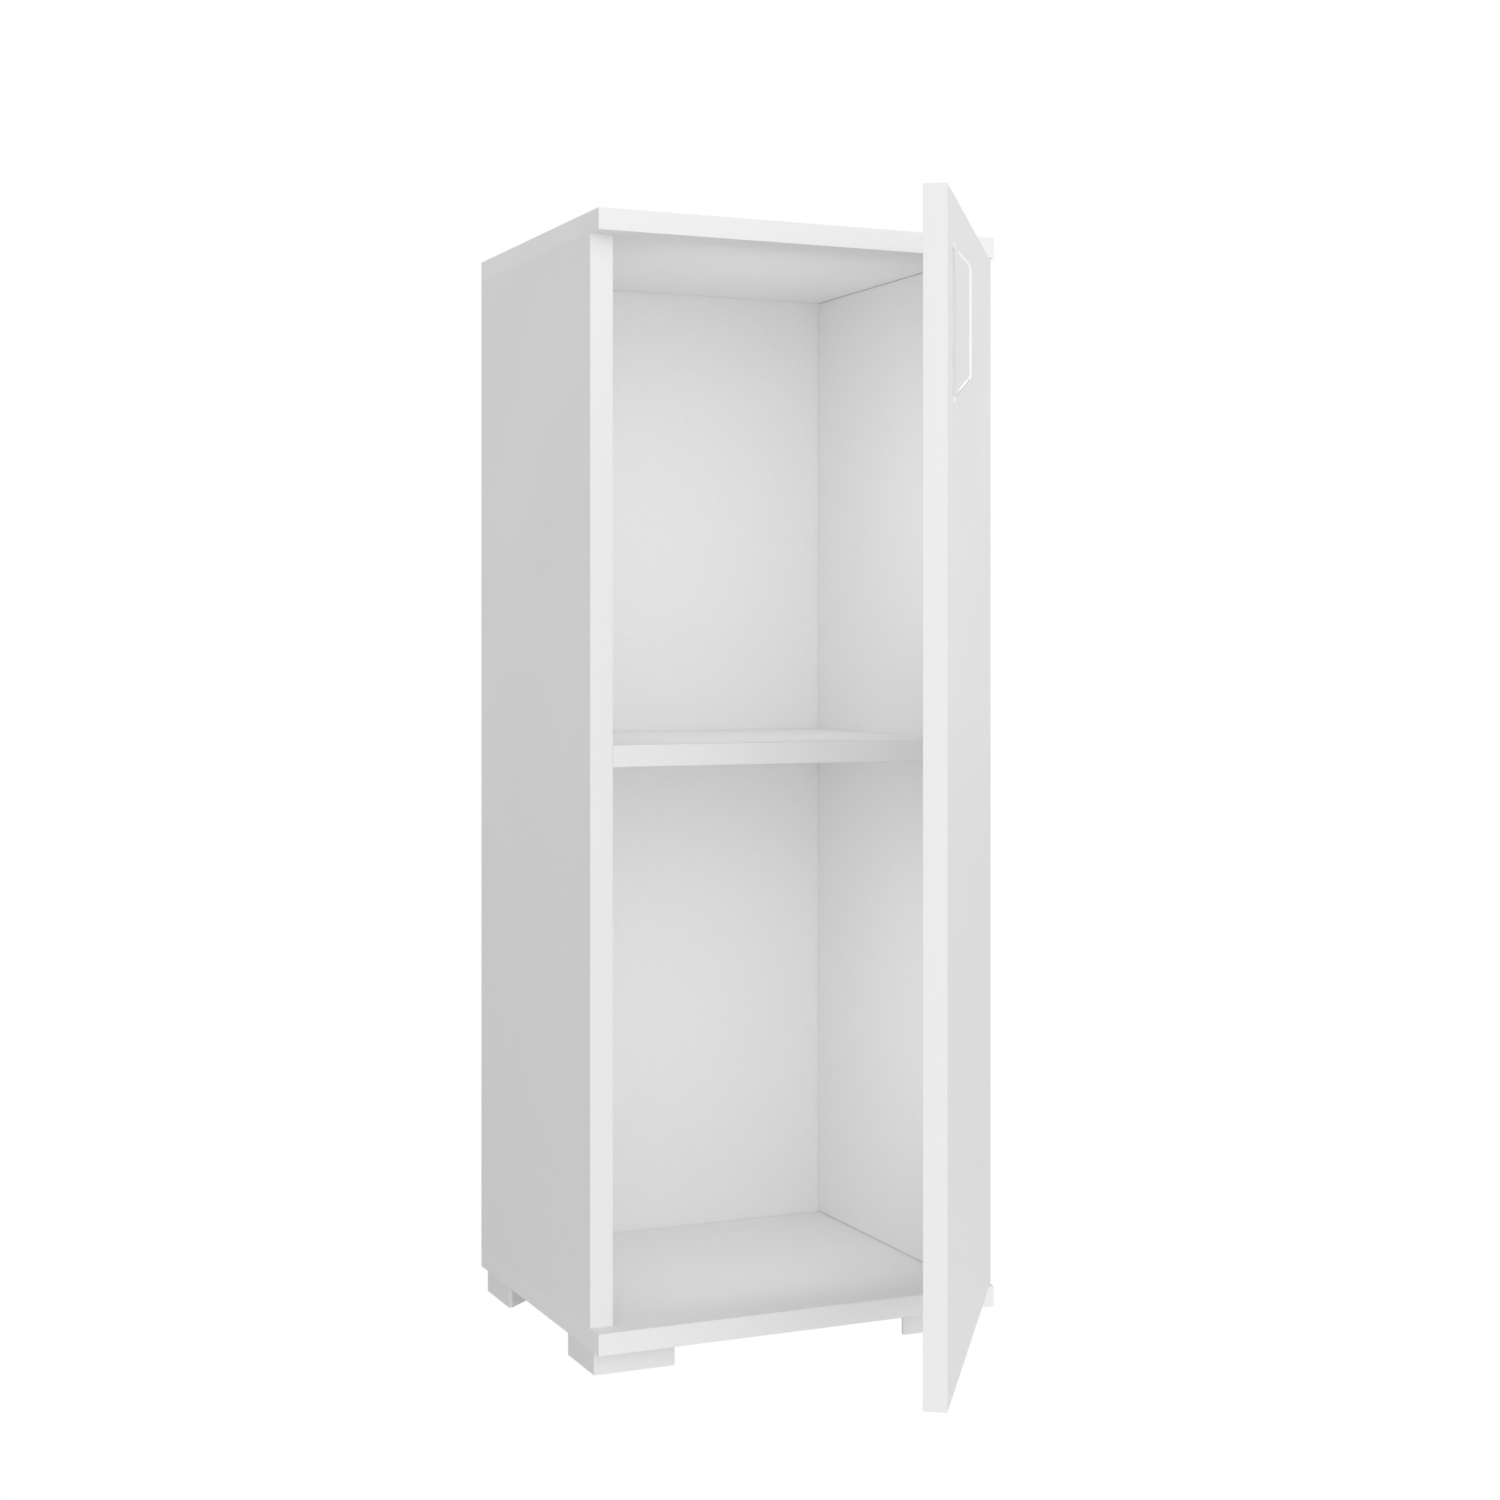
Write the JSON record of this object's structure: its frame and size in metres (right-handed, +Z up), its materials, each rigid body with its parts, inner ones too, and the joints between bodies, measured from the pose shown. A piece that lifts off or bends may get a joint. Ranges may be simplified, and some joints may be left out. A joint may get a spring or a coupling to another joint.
{
  "type": "locker cabinet",
  "caption": "Upright white locker cabinet with a single hinged door, one shelf, a slim chrome handle and low corner feet.",
  "frame": {"origin": "on the floor, on the cabinet's centre line, under the middle of the box that holds the cabinet and its open door as stored; the carcass's front plane lies 11.0 mm in front of it and its back 306.0 mm behind it", "axes": "+Z up, +Y from the open front towards the back panel, +X towards the hinge side (the right-hand side seen from the front)"},
  "size_m": [0.3711, 0.612, 0.962],
  "materials": {
    "white_melamine": "smooth satin melamine-faced particle board",
    "white_edge_band": "satin plastic edge banding",
    "white_backboard": "thin fibreboard, white lacquer inside and raw brown outside",
    "white_plastic": "moulded plastic, fine satin texture",
    "handle_chrome": "polished chrome",
    "nickel_plate": "nickel-plated stamped steel",
    "zinc_plate": "bright zinc-plated steel",
    "beech_wood": "raw fluted beech dowel"
  },
  "bodies": {
    "carcass": {"top_panel": "white_melamine", "bottom_panel": "white_melamine", "left_side_panel": "white_melamine", "right_side_panel": "white_melamine", "back_panel": "white_backboard", "shelf": "white_melamine", "top_edge_band": "white_edge_band", "bottom_edge_band": "white_edge_band", "left_side_edge_band": "white_edge_band", "right_side_edge_band": "white_edge_band", "shelf_edge_band": "white_edge_band", "shelf_pins": "zinc_plate", "carcass_screws": "zinc_plate", "carcass_dowels": "beech_wood", "screw_caps": "white_plastic", "back_nails": "zinc_plate", "front_left_foot": "white_plastic", "front_right_foot": "white_plastic", "rear_left_foot": "white_plastic", "rear_right_foot": "white_plastic", "foot_screws": "zinc_plate", "hinge_link_rivets": "zinc_plate", "upper_hinge_arm": "nickel_plate", "lower_hinge_arm": "nickel_plate", "upper_mounting_plate": "nickel_plate", "lower_mounting_plate": "nickel_plate", "mounting_plate_screws": "zinc_plate", "hinge_fixing_screws": "zinc_plate", "hinge_adjusting_screws": "zinc_plate"},
    "door": {"door_panel": "white_melamine", "door_edge_band": "white_edge_band", "handle": "handle_chrome", "handle_barrel_nuts": "zinc_plate", "upper_hinge_cup": "nickel_plate", "lower_hinge_cup": "nickel_plate", "hinge_cup_screws": "zinc_plate", "hinge_cup_pins": "zinc_plate"},
    "upper_link": {"upper_hinge_link": "nickel_plate"},
    "lower_link": {"lower_hinge_link": "nickel_plate"}
  },
  "joints": [
    {"name": "door_swing", "type": "hinge", "parent": "carcass", "child": "door", "pos_m": [0.1775, -0.00502, 0.4925], "axis": [0, 0, 1], "range_deg": [-55.4, 39.6]},
    {"name": "upper_link_swing", "type": "hinge", "parent": "carcass", "child": "upper_link", "pos_m": [0.1518, 0.00949, 0.843], "axis": [0, 0, 1], "range_deg": [-6.8, 9.31]},
    {"name": "lower_link_swing", "type": "hinge", "parent": "carcass", "child": "lower_link", "pos_m": [0.1518, 0.00949, 0.142], "axis": [0, 0, 1], "range_deg": [-6.8, 9.31]}
  ],
  "couplings": [
    {"joint": "upper_link_swing", "follows": "door_swing", "ratio": -0.159},
    {"joint": "lower_link_swing", "follows": "door_swing", "ratio": -0.159}
  ]
}
